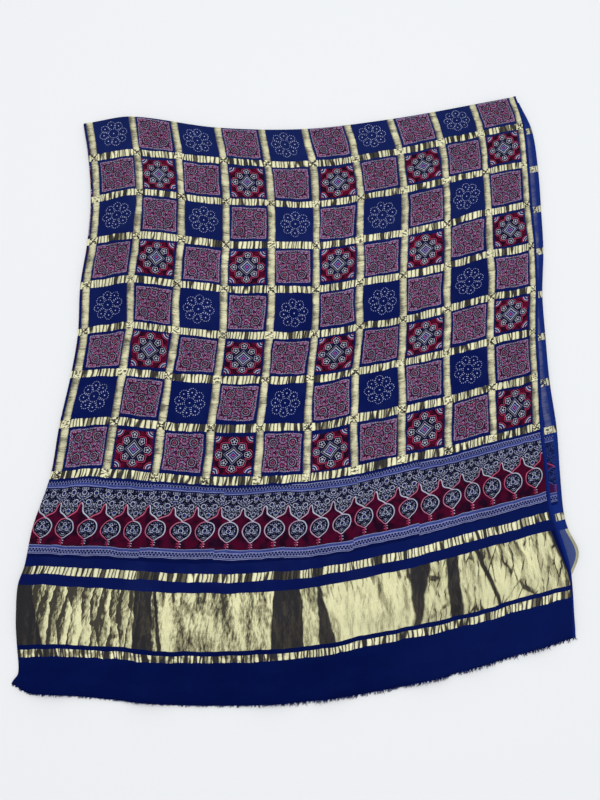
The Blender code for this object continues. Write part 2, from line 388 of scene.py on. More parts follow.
def make_cloth_mesh():
    """The middle of the sheet as one mesh, each face with its finish and place on the unfolded cloth."""
    columns = across_stations()
    rows = along_stations()
    form = bmesh.new()
    unfolded = form.loops.layers.uv.new("unfolded")
    grid = [[form.verts.new(cloth_point(column[0], row[0])) for column in columns] for row in rows]
    for j in range(len(rows) - 1):
        zone = rows[j][2]
        for i in range(len(columns) - 1):
            corners = ((j, i + 1), (j, i), (j + 1, i), (j + 1, i + 1))
            face = form.faces.new([grid[b][a] for b, a in corners])
            face.material_index = FINISHES.index(finish_of(columns[i][2], zone))
            face.smooth = True
            for loop, (b, a) in zip(face.loops, corners):
                loop[unfolded].uv = [(place - UV_LOW) / UV_SPAN for place in (columns[a][1], rows[b][1])]
    mesh = bpy.data.meshes.new("ajrakh_sheet")
    form.to_mesh(mesh)
    form.free()
    return mesh


cloth = bpy.data.objects.new("ajrakh_sheet", make_cloth_mesh())
bpy.context.scene.collection.objects.link(cloth)

solidify = cloth.modifiers.new("Thickness", "SOLIDIFY")
solidify.thickness = SEEN_SHEET
solidify.offset = 0.0
solidify.use_even_offset = True
solidify.material_offset = len(FINISHES)
solidify.material_offset_rim = 0


def colour(red, green, blue):
    """A colour as seen, from 0 to 255, as the shader's own light value."""
    light = []
    for level in (red, green, blue):
        share = level / 255
        light.append(share / 12.92 if share < 0.04045 else ((share + 0.055) / 1.055) ** 2.4)
    return (*light, 1.0)


INDIGO = colour(5, 18, 77)
INDIGO_DEEP = colour(0, 12, 66)
PINK = colour(186, 62, 100)
RESIST = colour(178, 180, 204)
BLACK = colour(5, 4, 14)
# GOLD is the gold thread where it faces the light, GOLD_OLIVE its painted half shade, and
# GOLD_PAINTED_SHADE its painted shade in creases and in folds turned from the light.
GOLD = colour(234, 232, 194)
GOLD_OLIVE = colour(146, 142, 110)
GOLD_PAINTED_SHADE = colour(44, 43, 46)


def feed(socket, value):
    """Set a socket to a value, or link a field or another socket to it."""
    if isinstance(value, Field):
        value = value.socket
    if isinstance(value, bpy.types.NodeSocket):
        socket.id_data.links.new(value, socket)
    else:
        socket.default_value = value


def add_node(tree, kind, inputs, **settings):
    """A new shader node with its settings, and its inputs fed by name or number."""
    node = tree.nodes.new("ShaderNode" + kind)
    for name, value in settings.items():
        setattr(node, name, value)
    for name, value in inputs.items():
        feed(node.inputs[name], value)
    return node


class Field:
    """A number that varies over the cloth. Sums and products of it add Math nodes to its tree."""

    def __init__(self, socket):
        self.socket = socket
        self.tree = socket.id_data

    def maths(self, operation, other=None):
        """This number through one Math node."""
        inputs = {0: self} if other is None else {0: self, 1: other}
        return Field(add_node(self.tree, "Math", inputs, operation=operation).outputs[0])

    def __add__(self, other):
        return self.maths("ADD", other)

    def __sub__(self, other):
        return self.maths("SUBTRACT", other)

    def __mul__(self, other):
        return self.maths("MULTIPLY", other)

    def __truediv__(self, other):
        return self.maths("DIVIDE", other)

    def __abs__(self):
        return self.maths("ABSOLUTE")

    def least(self, other):
        return self.maths("MINIMUM", other)

    def most(self, other):
        return self.maths("MAXIMUM", other)

    def left_over(self):
        """What is missing from 1."""
        return self * -1 + 1

    def rise(self, zero_at, one_at):
        """A soft mask: 0 on the far side of zero_at and 1 past one_at."""
        inputs = {"Value": self, "From Min": zero_at, "From Max": one_at}
        node = add_node(self.tree, "MapRange", inputs, interpolation_type="SMOOTHSTEP")
        return Field(node.outputs["Result"])

    def near(self, value, width):
        """A mask of a line that lies at value."""
        return abs(self - value).rise(width / 2 + 0.12, width / 2 - 0.12)


def parts(socket):
    """The three parts of a colour or a place, as fields."""
    kind = "SeparateColor" if socket.type == "RGBA" else "SeparateXYZ"
    return [Field(part) for part in add_node(socket.id_data, kind, {0: socket}).outputs]


def point(x, y):
    """Two fields as one place."""
    return add_node(x.tree, "CombineXYZ", {"X": x, "Y": y}).outputs["Vector"]


def gap(x, y, place):
    """How far (x, y) lies from one place."""
    inputs = {0: point(x, y), 1: (*place, 0)}
    return Field(add_node(x.tree, "VectorMath", inputs, operation="DISTANCE").outputs["Value"])


def nearest_gap(x, y, places):
    """How far (x, y) lies from the nearest of some places."""
    away = gap(x, y, places[0])
    for place in places[1:]:
        away = away.least(gap(x, y, place))
    return away


def repeats(field, start, pitch):
    """Which repeat of a pattern each place lies in, and how far it is from that repeat's middle."""
    share = (field - start) / pitch
    number = share.maths("FLOOR")
    return number, (share - number - 0.5) * pitch


def mottle(x, y, size, detail=2.0, stretch=1.0):
    """Soft noise from 0 to 1, with patches of about that size, drawn out along y by the stretch."""
    inputs = {"Vector": point(x, y / stretch), "Scale": 1 / size, "Detail": detail}
    return Field(add_node(x.tree, "TexNoise", inputs, noise_dimensions="2D").outputs["Fac"])


def drift(x, y, size, reach, detail=1.0, stretch=1.0):
    """The same noise about 0, from half the reach below it to half above."""
    return (mottle(x, y, size, detail, stretch) - 0.5) * reach


def cells(x, y, size, loose, feature="F1"):
    """Uneven cells of about that size: the distance in each from its point or its edge, and the node."""
    inputs = {"Vector": point(x, y), "Scale": 1 / size, "Randomness": loose}
    node = add_node(x.tree, "TexVoronoi", inputs, voronoi_dimensions="2D", feature=feature)
    return Field(node.outputs["Distance"]), node


def over(below, above, mask):
    """One colour laid over another where the mask is 1. Each is a colour or a socket."""
    inputs = {"Factor": mask, 6: below, 7: above}
    return add_node(mask.tree, "Mix", inputs, data_type="RGBA").outputs[2]


def banded(field, stops):
    """Bands of colour by distance. Each stop is where a band starts, in millimetres, and its colour."""
    reach = stops[-1][0] + 1
    start = stops[0][0]
    node = add_node(field.tree, "ValToRGB", {"Fac": (field - start) / (reach - start)})
    ramp = node.color_ramp
    ramp.interpolation = "CONSTANT"
    ramp.elements.remove(ramp.elements[1])
    ramp.elements[0].position = 0.0
    ramp.elements[0].color = stops[0][1]
    for at, shade in stops[1:]:
        ramp.elements.new((at - start) / (reach - start)).color = shade
    return node.outputs["Color"]


def start_group(name, **more):
    """A new shader group of numbers, and its fields in: the place on the cloth, and more by name."""
    group = bpy.data.node_groups.new(name, "ShaderNodeTree")
    inputs = {"Across": 0.0, "Along": 0.0, **more}
    for label, value in inputs.items():
        socket = group.interface.new_socket(label, in_out="INPUT", socket_type="NodeSocketFloat")
        socket.default_value = value
    taken = group.nodes.new("NodeGroupInput")
    return group, [Field(taken.outputs[label]) for label in inputs]


def end_group(group, **outputs):
    """The group with its outputs."""
    for label in outputs:
        group.interface.new_socket(label, in_out="OUTPUT", socket_type="NodeSocketFloat")
    given = group.nodes.new("NodeGroupOutput")
    for label, field in outputs.items():
        feed(given.inputs[label], field)
    return group


def use_group(group, across, along, **more):
    """The group placed in a material, its inputs set by name, and its outputs as fields."""
    inputs = {"Across": across, "Along": along, **more}
    return [Field(socket) for socket in add_node(across.tree, "Group", inputs, node_tree=group).outputs]


# The weave's threads, and the checks once more in millimetres, as the materials read their place.
THREAD_PITCH_MM = 0.42
FIRST_BAR_MM = FOLD_TO_FIRST_BAR * 1000
COLUMN_MM = COLUMN_PITCH * 1000
FIRST_LINE_MM = FIRST_LINE * 1000
ROW_MM = ROW_PITCH * 1000
BAR_HALF_MM = BAR_HALF * 1000


def make_weave_group():
    """Plain weave: the rise of its threads, and a tone to multiply the colour by: thicker and thinner
    threads, patches, and painted shade between the threads' crowns.
    """
    group, (across, along) = start_group("Plain weave")
    turns = math.pi / THREAD_PITCH_MM
    rise = (across * turns).maths("SINE") * (along * turns).maths("SINE") * 0.5 + 0.5
    warp_slub = mottle(across, along, 0.9, 1.0, stretch=14.0)
    weft_slub = mottle(along, across, 0.9, 1.0, stretch=14.0)
    slub = warp_slub * 0.6 + weft_slub * 0.4
    patch = mottle(across, along, 26.0, 3.0) * 0.5 + mottle(across, along, 110.0) * 0.5
    # Higher threads come out lighter and the hollows between them darker: painted shade.
    return end_group(group, Height=rise, Shade=rise * 0.16 + slub * 0.34 + patch * 0.50 + 0.50)


def make_block_group():
    """The place in a printed block, from its middle, with the printer's small slips and turns."""
    group, (across, along, slip, turn, lot) = start_group("Printed block", Slip=1.0, Turn=0.03, Lot=0.0)
    column, x = repeats(across, FIRST_BAR_MM, COLUMN_MM)
    row, y = repeats(along, FIRST_LINE_MM, ROW_MM)
    place = add_node(group, "CombineXYZ", {"X": column, "Y": row, "Z": lot}).outputs["Vector"]
    chance = add_node(group, "TexWhiteNoise", {"Vector": place}, noise_dimensions="3D")
    draws = [part * 2 - 1 for part in parts(chance.outputs["Color"])]
    x = x - draws[0] * slip
    y = y - draws[1] * slip
    angle = draws[2] * turn
    block_x = x + y * angle + drift(across, along, 7.0, 0.9)
    block_y = y - x * angle + drift(along, across, 7.0, 0.9)
    return end_group(group, X=block_x, Y=block_y, Chance=Field(chance.outputs["Value"]))


def make_wear_group():
    """Hand printing: where the paste took well (1) and where it is thin (0), at a strength."""
    group, (across, along, strength) = start_group("Print wear", Strength=0.5)
    thin = mottle(across, along, 1.1, 3.0).rise(0.36, 0.56)
    cloudy = mottle(across, along, 9.0).rise(0.30, 0.60)
    return end_group(group, Cover=strength * (thin * 0.6 + cloudy * 0.4 - 1) + 1)


def make_crease_group():
    """Metal thread creased across: flats with a painted highlight, a few in painted shade as if turned from
    the light, each shaded to one side, between creases in painted shade; and their relief.
    """
    group, (across, along, width, dark, lean) = start_group("Creased metal", Width=4.0, Dark=0.2, Lean=0.0)
    place = (across + along * lean + drift(across, along, 6.0, 2.2, stretch=2.0)) / width
    run = along / width * 0.06
    crease = cells(place, run, 1.0, 1.0, "DISTANCE_TO_EDGE")[0]
    flat = cells(place, run, 1.0, 1.0)[1]
    chance, depth = parts(flat.outputs["Color"])[:2]
    off_middle = place - parts(flat.outputs["Position"])[0]
    # Painted shade along each crease, on the few flats turned from the light, and on one side of each flat;
    # the rest of each flat is a painted highlight.
    narrow = crease.rise(0.05, 0.19) * 0.92 + 0.08
    turned = (chance - dark).rise(-0.06, 0.10)
    sloped = off_middle * (depth * 1.6 - 0.2) + 0.62 + drift(across, along, 0.9, 0.8, 2.0, stretch=4.0)
    inner = sloped.rise(0.18, 0.62) * 0.5 + 0.5
    bright = (narrow * (turned * 0.90 + 0.10) * inner).most(0.0)
    return end_group(group, Bright=bright, Height=crease.rise(0.0, 0.45) + chance * 0.4)


weave_group = make_weave_group()
block_group = make_block_group()
wear_group = make_wear_group()
crease_group = make_crease_group()


def new_material(name):
    """A new material, and its nodes."""
    material = bpy.data.materials.new(name)
    material.use_nodes = True
    return material, material.node_tree


def set_shader(material, looks):
    """Feed the sockets of a material's own shader, by name."""
    shader = material.node_tree.nodes["Principled BSDF"]
    for name, value in looks.items():
        feed(shader.inputs[name], value)


def start_finish(name):
    """A new material, with the place on the unfolded cloth as two fields in millimetres."""
    material, tree = new_material(name)
    unfolded = add_node(tree, "UVMap", {}, uv_map="unfolded")
    mapping = add_node(tree, "Mapping", {
        "Vector": unfolded.outputs["UV"],
        "Scale": (UV_SPAN * 1000, UV_SPAN * 1000, 1),
        "Location": (UV_LOW * 1000, UV_LOW * 1000, 0),
    })
    return material, *parts(mapping.outputs["Vector"])[:2]


def end_finish(material, across, along, hue, relief=None, metal=None, reverse=False, sunk=0.45):
    """Weave, relief and shader of the finish. On the reverse, its colours are partly sunk in blue."""
    tree = material.node_tree
    height, shade = use_group(weave_group, across, along)
    # The weave's Shade is thread tone together with the painted shade between the threads.
    inputs = {"Factor": 1.0, 6: hue, 7: shade}
    final = add_node(tree, "Mix", inputs, data_type="RGBA", blend_type="MULTIPLY").outputs[2]
    if reverse:
        material.name += "_reverse"
        inputs = {"Factor": sunk, 6: final, 7: colour(22, 45, 121)}
        final = add_node(tree, "Mix", inputs, data_type="RGBA").outputs[2]
    rise = height * 0.05
    if relief is not None:
        rise = rise + relief
    bump = add_node(tree, "Bump", {"Distance": 0.001, "Strength": 1.0, "Height": rise})
    looks = {
        "Base Color": final,
        "Roughness": 0.80,
        "Specular IOR Level": 0.04,
        "Normal": bump.outputs["Normal"],
    }
    if metal is not None:
        looks["Metallic"] = metal
        looks["Roughness"] = metal * -0.60 + 0.80
    set_shader(material, looks)
    return material


def dyed_navy(across, along):
    """The navy dye of the checks: a little paler towards the crosswise fold, and never quite even."""
    paler = along.rise(320, -20) * 0.8 + mottle(along, across, 34.0).rise(0.40, 0.70) * 0.3
    return over(INDIGO, colour(20, 33, 86), paler)


def on_navy(across, along, hue, cover):
    """A finish laid over the navy where its cover is 1."""
    return over(dyed_navy(across, along), hue, cover)


def ground_finish(reverse):
    """Plain navy ground, deepest past the wide band, and paler again towards the right."""
    material, across, along = start_finish("plain_navy")
    hue = over(dyed_navy(across, along), INDIGO_DEEP, along.rise(560, 625))
    uneven = mottle(along, across, 22.0, 3.0, stretch=2.5).rise(0.42, 0.66)
    hue = over(hue, colour(5, 21, 79), across.rise(320, 430) * 0.75 + uneven * 0.2)
    hue = over(hue, colour(18, 42, 126), across.rise(546, 550) * 0.8)
    return end_finish(material, across, along, hue, reverse=reverse, sunk=0.8)


def frayed_bar(across, along, away):
    """Where gold thread covers a bar: its edges are a little ragged."""
    ragged = away + mottle(across, along, 1.6) * 1.6
    return ragged.rise(BAR_HALF_MM + 0.95, BAR_HALF_MM + 0.60)


def warp_bar_finish(reverse):
    """Gold in the warp: pale and smooth, with fine cross lines, and painted shade in a few deeper creases,
    down one side and along both edges.
    """
    material, across, along = start_finish("gold_warp_bar")
    offset = repeats(across, FIRST_BAR_MM - COLUMN_MM / 2, COLUMN_MM)[1]
    swayed = along + drift(across, along, 6.0, 2.5)
    crease = mottle(swayed, across, 1.5, stretch=30.0).rise(0.33, 0.25)
    rib = mottle(swayed, across, 0.8, 1.0, stretch=12.0)
    soft = mottle(along, across, 9.0, 3.0, stretch=3.0)
    grain = mottle(across, along, 0.9, stretch=3.0)
    # Painted shade down the left side of each bar, along both its edges, and in its deeper creases.
    side = (offset + drift(along, across, 16.0, 8)).rise(1.0, -4.0)
    rim = abs(offset).rise(2.4, 4.2)
    tone = (soft * 0.60 + grain * 0.30 + rib * 0.42 - side * 0.22 - rim * 0.16).rise(0.27, 0.84)
    hue = over(colour(88, 86, 80), colour(224, 220, 182), tone)
    hue = over(hue, colour(76, 70, 60), crease * 0.85)
    cover = frayed_bar(across, along, abs(offset))
    hue = on_navy(across, along, hue, cover)
    relief = soft * 0.30 - crease * 0.30
    return end_finish(material, across, along, hue, relief, cover * 0.30, reverse, sunk=0.87)


# The end of the checks and the middles of the two end stripes, by distance from the crosswise fold.
CHECKS_END = 445.5
FIRST_STRIPE = 544.1
SECOND_STRIPE = 625.75
# Where the first end stripe lies turned from the light, by distance from the lengthwise fold.
TURNED_STRIPE_MM = ((-5, 8), (117, 139), (250, 276))


def weft_bar_finish(reverse):
    """Gold in the weft: drawn up into sharp creases, with a painted highlight on the flats and painted
    shade nearly black between them.
    """
    material, across, along = start_finish("gold_weft_bar")
    row, checks = repeats(along, FIRST_LINE_MM - ROW_MM / 2, ROW_MM)
    in_checks = along.rise(CHECKS_END + 0.5, CHECKS_END - 0.5)
    end_stripe = abs(along - FIRST_STRIPE).least(abs(along - SECOND_STRIPE) + 0.6)
    away = abs(checks) * in_checks + end_stripe * in_checks.left_over()
    column, offset = repeats(across, FIRST_BAR_MM - COLUMN_MM / 2, COLUMN_MM)
    offset = abs(offset)
    bright, level = use_group(crease_group, across, along, Width=3.8, Dark=0.12, Lean=0.04)

    # Where the bars cross, the knots are drawn up: some carry a small dark cross of painted shade, and
    # their spots are painted highlight and shade.
    lot = add_node(across.tree, "TexWhiteNoise", {"Vector": point(column, row)}, noise_dimensions="2D")
    drawn = Field(lot.outputs["Value"]).rise(0.30, 0.50)
    knot = offset.rise(4.8, 3.8) * in_checks
    wobble = drift(across, along, 2.2, 7.0, 2.0)
    crossed = abs(offset - abs(checks) + wobble).rise(1.6, 0.6) * drawn
    spotted = mottle(along, across, 2.0, stretch=1.6).rise(0.38, 0.53)
    knot_painted_light = (crossed * -0.95 + 1) * (spotted * 0.80 + 0.20)
    bright = bright * knot.left_over() + knot_painted_light * knot
    in_first_stripe = abs(along - FIRST_STRIPE).rise(9, 8)
    for start, end in TURNED_STRIPE_MM:
        turned = across.rise(start - 1, start + 1) * across.rise(end + 1, end - 1) * in_first_stripe
        bright = bright * (turned * -0.85 + 1)
    # The second end stripe lies crumpled at the left: painted shade there.
    in_second_stripe = abs(along - SECOND_STRIPE).rise(6, 5)
    crumpled_shade = across.rise(330, 200) * mottle(across, along, 7.0).rise(0.34, 0.58) * in_second_stripe
    bright = bright * (crumpled_shade * -0.55 + 1)
    # The painted light runs from painted shade through olive to the lit gold.
    hue = over(GOLD_PAINTED_SHADE, colour(132, 126, 98), bright.rise(0.0, 0.42))
    hue = over(hue, GOLD, bright.rise(0.25, 0.78))
    cover = frayed_bar(across, along, away - bright * 0.7 + 0.35)
    hue = on_navy(across, along, hue, cover)
    relief = level * knot.left_over() * 0.9 + spotted * knot * 0.5
    return end_finish(material, across, along, hue, relief, cover * 0.35, reverse, sunk=0.2)


# Where the gold band starts past the crosswise fold, how long it is, how wide the cloth is there, how
# far across the gold reaches, and where the lower selvedge has rolled over.
BAND_TOP = 559.0
BAND_LENGTH = 59.0
BAND_WIDTH = 550
GOLD_END = 541.5
ROLLED_EDGE = -588.4
# Folds of the band that lie turned from the light: where each starts and ends at the band's upper edge,
# where it does at its lower edge, and how soft its sides are.
DARK_FOLDS_MM = (
    (-9, 15, -9, 25, 4),
    (118, 135, 113, 132, 1),
    (137, 140, 136, 139, 1),
    (251, 277, 240, 271, 1),
    (293, 297, 286, 302, 2),
    (388, 410, 379, 386, 3),
    (425, 437, 417, 430, 2),
    (456, 462, 466, 470, 2),
    (538, 548, 545, 552, 3),
)
# How much painted light the band takes between them, by distance from the lengthwise fold.
BAND_LIGHT_LEVELS = (
    (0, 0.38), (60, 0.46), (110, 0.42), (142, 0.70), (200, 0.66), (240, 0.70), (290, 0.75), (310, 0.88),
    (380, 0.82), (440, 0.84), (520, 0.88), (548, 0.60),
)
# The width of one facet where the band is crumpled.
FACET = 9.5


def grey(level):
    """A number as a colour, for a ramp."""
    return (level, level, level, 1)


def tissue_finish(reverse):
    """The wide band of gold tissue: broad soft folds, with painted shade on those turned from the light,
    and fine slanting crinkles, painted in light and shade as well as given relief.
    """
    material, across, along = start_finish("gold_tissue")
    down = (along - BAND_TOP) / BAND_LENGTH
    fold = None
    for top_start, top_end, low_start, low_end, soft in DARK_FOLDS_MM:
        sway = drift(along, across + top_start * 3, 15.0, 4, 2.0)
        from_start = across + sway - down * (low_start - top_start) - top_start
        from_end = across + sway - down * (low_end - top_end) - top_end
        mask = from_start.rise(-soft / 2, soft / 2) * from_end.rise(soft / 2, -soft / 2)
        fold = mask if fold is None else fold.most(mask)
    band_light_ramp = add_node(across.tree, "ValToRGB", {"Fac": across / BAND_WIDTH})
    ramp = band_light_ramp.color_ramp.elements
    for at, tone in BAND_LIGHT_LEVELS[1:-1]:
        ramp.new(at / BAND_WIDTH).color = grey(tone)
    ramp[0].color = grey(BAND_LIGHT_LEVELS[0][1])
    ramp[-1].color = grey(BAND_LIGHT_LEVELS[-1][1])
    tone = Field(band_light_ramp.outputs["Color"])
    slant = across + along * 0.24
    bent = along - across * 0.24
    streak = mottle(slant, bent, 3.6, 3.0, stretch=8.0)
    other = mottle(across - along * 0.14, along, 6.0, 3.0, stretch=6.0)
    rough = (tone * -1.1 + 1.30).least(0.95)
    swayed = across + drift(across, along, 7.0, 3.0)
    upright = cells(swayed + along * 0.22, along * 0.16, 8.0, 1.0, "DISTANCE_TO_EDGE")[0]
    out = across * 0.86 + along * 0.50
    up = along * 0.86 - across * 0.50
    slanted = cells(out, up * 0.20, 17.0, 1.0, "DISTANCE_TO_EDGE")[0]
    sharp = upright.rise(0.080, 0.030) * mottle(across, along, 19.0, 1.0).rise(0.46, 0.60)
    sharp = sharp.most(slanted.rise(0.040, 0.016) * mottle(along, across, 21.0, 1.0).rise(0.44, 0.58))
    crisp = across.rise(370, 410) * 0.75 + across.rise(130, 90) * 0.35 + 0.12
    at_top = down.rise(0.55, 0.0)
    short = mottle(across, along, 4.5, stretch=5.0).rise(0.52, 0.60) * at_top

    # At the left the band is crumpled into long facets, each lighter or darker by its own slope: painted
    # light and shade.
    at_left = across.rise(142, 114)
    leaning = swayed + along * 0.17
    facets = cells(leaning, along * 0.27, FACET, 1.0)[1]
    tilt = parts(facets.outputs["Color"])[0]
    slope = (leaning - parts(facets.outputs["Position"])[0]) / FACET
    facet = (tilt - 0.62) * 0.62 + slope * 0.72
    # The band's level is painted light: lighter and darker crinkles, its light levels and facets, and
    # painted shade in its sharp creases and short wedges near the top.
    uneven = (streak - 0.5) * 0.85 + (other - 0.5) + drift(across + down * 6, along, 13.0, 1.5, 2.0, 4.5)
    level = uneven * (at_left * -0.45 + 1) * rough + tone * 0.48 + 0.20
    level = level + drift(across, along, 0.8, 0.30, 3.0) - short * 0.24
    level = level + drift(slant, bent, 1.6, 1.0, 3.0, 3.4) * (across.rise(330, 230) * 0.45 + 0.2)
    level = level + facet * (at_left * 0.80 + 0.10)
    level = level - sharp * crisp * 0.38 - upright.rise(0.30, 0.05) * crisp * 0.07
    # From painted shade through olive half shade to the lit gold; folds turned from the light take a deeper
    # painted shade.
    hue = over(colour(66, 63, 56), GOLD_OLIVE, level.rise(0.20, 0.40))
    hue = over(hue, colour(224, 222, 178), level.rise(0.36, 0.68))
    dark = over(GOLD_PAINTED_SHADE, colour(68, 64, 57), level.rise(0.35, 0.80))
    hue = over(hue, dark, fold)
    edge = abs(along - BAND_TOP - BAND_LENGTH / 2) + mottle(across, along, 1.8) * 1.6
    cover = edge.rise(30.6, 30.2) * (across - down * 4.5).rise(GOLD_END + 0.5, GOLD_END - 0.5)
    if reverse:
        # Underneath, the navy warp hides the gold, but the selvedge has rolled and shows a rim of it.
        cover = across.rise(ROLLED_EDGE + 0.4, ROLLED_EDGE - 0.4)
        hue = over(hue, colour(222, 218, 174), cover * 0.7)
    hue = over(colour(70, 84, 128) if reverse else INDIGO_DEEP, hue, cover)
    relief = streak * 0.9 + other * 0.9 - sharp * crisp * 0.25
    return end_finish(material, across, along, hue, relief, cover * 0.35, reverse, sunk=0.2)


# One petal of the tied-dot flower, from its tip to its root: along the petal and to one side of it.
PETAL_DOTS_MM = (
    (17.0, 0.0), (16.3, 2.2), (14.7, 3.9), (12.4, 4.5), (10.1, 3.7), (8.0, 2.6), (6.0, 1.3),
)
PETALS = 8


def rosette_finish(reverse):
    """A flower of eight petals in small white dots on the navy."""
    material, across, along = start_finish("dotted_flower")
    x, y = use_group(block_group, across, along, Slip=1.2, Turn=0.20, Lot=3.0)[:2]
    radius = gap(x, y, (0, 0))
    angle = y.maths("ARCTAN2", x)
    sector = 2 * math.pi / PETALS
    swing = angle - (angle / sector).maths("ROUND") * sector
    out = radius * swing.maths("COSINE")
    aside = abs(radius * swing.maths("SINE"))
    size = drift(across, along, 1.3, 0.7)
    ring = (nearest_gap(out, aside, PETAL_DOTS_MM) + size).rise(0.55, 0.28)
    petal = (gap(out, aside, (12.2, 0)) + size).rise(0.82, 0.48)
    middle = (radius + size).rise(0.85, 0.5)
    cover, = use_group(wear_group, across, along, Strength=0.35)
    mask = ring.most(petal).most(middle) * cover
    hue = on_navy(across, along, colour(192, 198, 226), mask)
    return end_finish(material, across, along, hue, reverse=reverse)


def printed_area(x, y, half, across, along):
    """Where a square block of that half width has printed."""
    rough = drift(across, along, 2.2, 1.3, 2.0)
    return (abs(x).most(abs(y)) + rough).rise(half + 0.15, half - 0.15)


def lattice_finish(reverse):
    """A close mesh of madder and indigo, with five ringed roundels and four half ones at the edges."""
    material, across, along = start_finish("lattice_print")
    x, y = use_group(block_group, across, along, Slip=0.9, Turn=0.035, Lot=5.0)[:2]
    side = abs(x)
    end = abs(y)
    far = side.most(end)
    close = side.least(end)
    roundel = gap(side, end, (10.4, 10.4)).least(gap(far, close, (20.8, 0))).least(gap(x, y, (0, 0)))
    leaf_away, leaf = cells(side, end, 2.6, 0.9)
    other = parts(leaf.outputs["Color"])[1]
    curl = over(colour(178, 56, 100), colour(140, 146, 190), mottle(x, y, 1.5, 1.0).rise(0.45, 0.52))
    heart = over(BLACK, colour(160, 162, 198), other.rise(0.60, 0.62))
    fill = over(colour(12, 5, 32), colour(60, 4, 30), mottle(side, end, 2.2, 1.0).rise(0.42, 0.58))
    fill = over(fill, colour(122, 46, 84), cells(side, end, 1.7, 0.9)[0].rise(0.30, 0.18))
    hue = over(fill, curl, abs(leaf_away - 0.32).rise(0.13, 0.06))
    hue = over(hue, heart, leaf_away.rise(0.17, 0.11))
    rings = banded(roundel, (
        (0.0, PINK), (0.8, BLACK), (1.7, colour(138, 136, 172)), (2.3, colour(150, 44, 84)), (2.9, BLACK),
        (3.9, colour(146, 154, 174)), (4.8, BLACK), (5.8, BLACK),
    ))
    broken = mottle(x, y, 1.2, 0.0).rise(0.38, 0.54) * 0.7 + 0.3
    rings = over(BLACK, rings, broken)
    hue = over(hue, rings, roundel.rise(5.65, 5.45))
    edge = far.near(19.6, 1.0) * mottle(x, y, 0.9, 0.0).rise(0.48, 0.56)
    hue = over(hue, RESIST, edge * 0.7)
    cover, = use_group(wear_group, across, along, Strength=0.45)
    hue = over(colour(46, 24, 62), hue, cover)
    hue = on_navy(across, along, hue, printed_area(x, y, 20.3, across, along))
    return end_finish(material, across, along, hue, reverse=reverse)


# The five-holed flower of the medallion print: the holes of one half, out from its middle and to one
# side, and how far the flowers lie from the middle of the square. At 1 the star would be a plain diamond.
FLOWER_HOLES_MM = ((2.15, 0.0), (0.66, 2.04), (-1.74, 1.26))
FLOWER_ON_AXIS = 15.2
FLOWER_ON_DIAGONAL = 12.4
STAR_POWER = 0.9


def medallion_finish(reverse):
    """Eight small flowers round a star on dark madder, with outlines in pink and white."""
    material, across, along = start_finish("medallion_print")
    x, y, chance = use_group(block_group, across, along, Slip=1.0, Turn=0.04, Lot=9.0)
    far = abs(x).most(abs(y))
    close = abs(x).least(abs(y))
    along_diagonal = (far + close) * math.sqrt(0.5)
    off_diagonal = (far - close) * math.sqrt(0.5)
    to_axis = gap(far, close, (FLOWER_ON_AXIS, 0))
    to_diagonal = gap(along_diagonal, off_diagonal, (FLOWER_ON_DIAGONAL, 0))
    on_axis = to_axis.maths("LESS_THAN", to_diagonal)
    on_diagonal = on_axis.left_over()
    out = (far - FLOWER_ON_AXIS) * on_axis + (along_diagonal - FLOWER_ON_DIAGONAL) * on_diagonal
    aside = close * on_axis + off_diagonal * on_diagonal
    flower = to_axis.least(to_diagonal)
    lobes = (aside.maths("ARCTAN2", out) * 5).maths("COSINE") * 0.40
    from_flower = flower - lobes
    red = over(colour(88, 5, 36), colour(30, 4, 26), mottle(across, along, 8.0).rise(0.34, 0.60))
    outside = banded(from_flower, (
        (0.0, colour(184, 186, 208)), (3.5, BLACK), (4.9, PINK), (5.6, BLACK), (6.4, BLACK),
    ))
    outside = over(outside, red, from_flower.rise(6.3, 6.5))
    inside = banded(from_flower, (
        (0.0, colour(184, 186, 208)), (3.5, BLACK), (5.2, colour(30, 34, 92)), (5.9, BLACK), (7.0, BLACK),
    ))
    hue = over(inside, outside, gap(x, y, (0, 0)).rise(13.0, 14.0))
    hue = over(hue, BLACK, nearest_gap(out, aside, FLOWER_HOLES_MM).rise(1.32, 1.04))
    diamond = far.maths("POWER", STAR_POWER) + close.maths("POWER", STAR_POWER)
    diamond = diamond.maths("POWER", 1 / STAR_POWER)
    star = banded(diamond, (
        (0.0, PINK), (1.5, colour(20, 24, 96)), (3.2, colour(140, 146, 200)), (4.3, colour(8, 12, 66)),
        (6.6, colour(190, 194, 214)), (7.8, BLACK), (9.9, colour(146, 150, 176)), (10.6, BLACK),
        (12.0, BLACK),
    ))
    hue = over(hue, star, diamond.rise(11.8, 11.6))
    corner = gap(far, close, (20.4, 20.4))
    corner_bands = banded(corner, (
        (0.0, PINK), (1.7, BLACK), (2.6, RESIST), (3.5, BLACK), (4.5, colour(52, 60, 134)),
        (5.4, colour(190, 194, 214)), (6.3, BLACK), (7.3, PINK), (8.0, BLACK), (8.8, BLACK),
    ))
    hue = over(hue, corner_bands, corner.rise(8.7, 8.5))
    cover, = use_group(wear_group, across, along, Strength=0.30)
    hue = over(colour(44, 16, 44), hue, cover)
    under_block = printed_area(x - 0.8 + chance * 1.6, y - 0.6, 20.4, across, along)
    beneath = on_navy(across, along, red, under_block)
    hue = over(beneath, hue, printed_area(x, y, 20.0, across, along))
    return end_finish(material, across, along, hue, reverse=reverse)


# The border's hanging roundels, its printed blocks of three, and the dark spots of its narrow bands.
ROUNDEL_PITCH = 23.8
FIRST_ROUNDEL = 9.4
ROUNDEL_LINE = 497.6
ROUNDEL_RADIUS = 10.1
BLOCK_WIDTH = 3 * ROUNDEL_PITCH
FIRST_JOINT = 45.0
SPOT_PITCH = 3.2

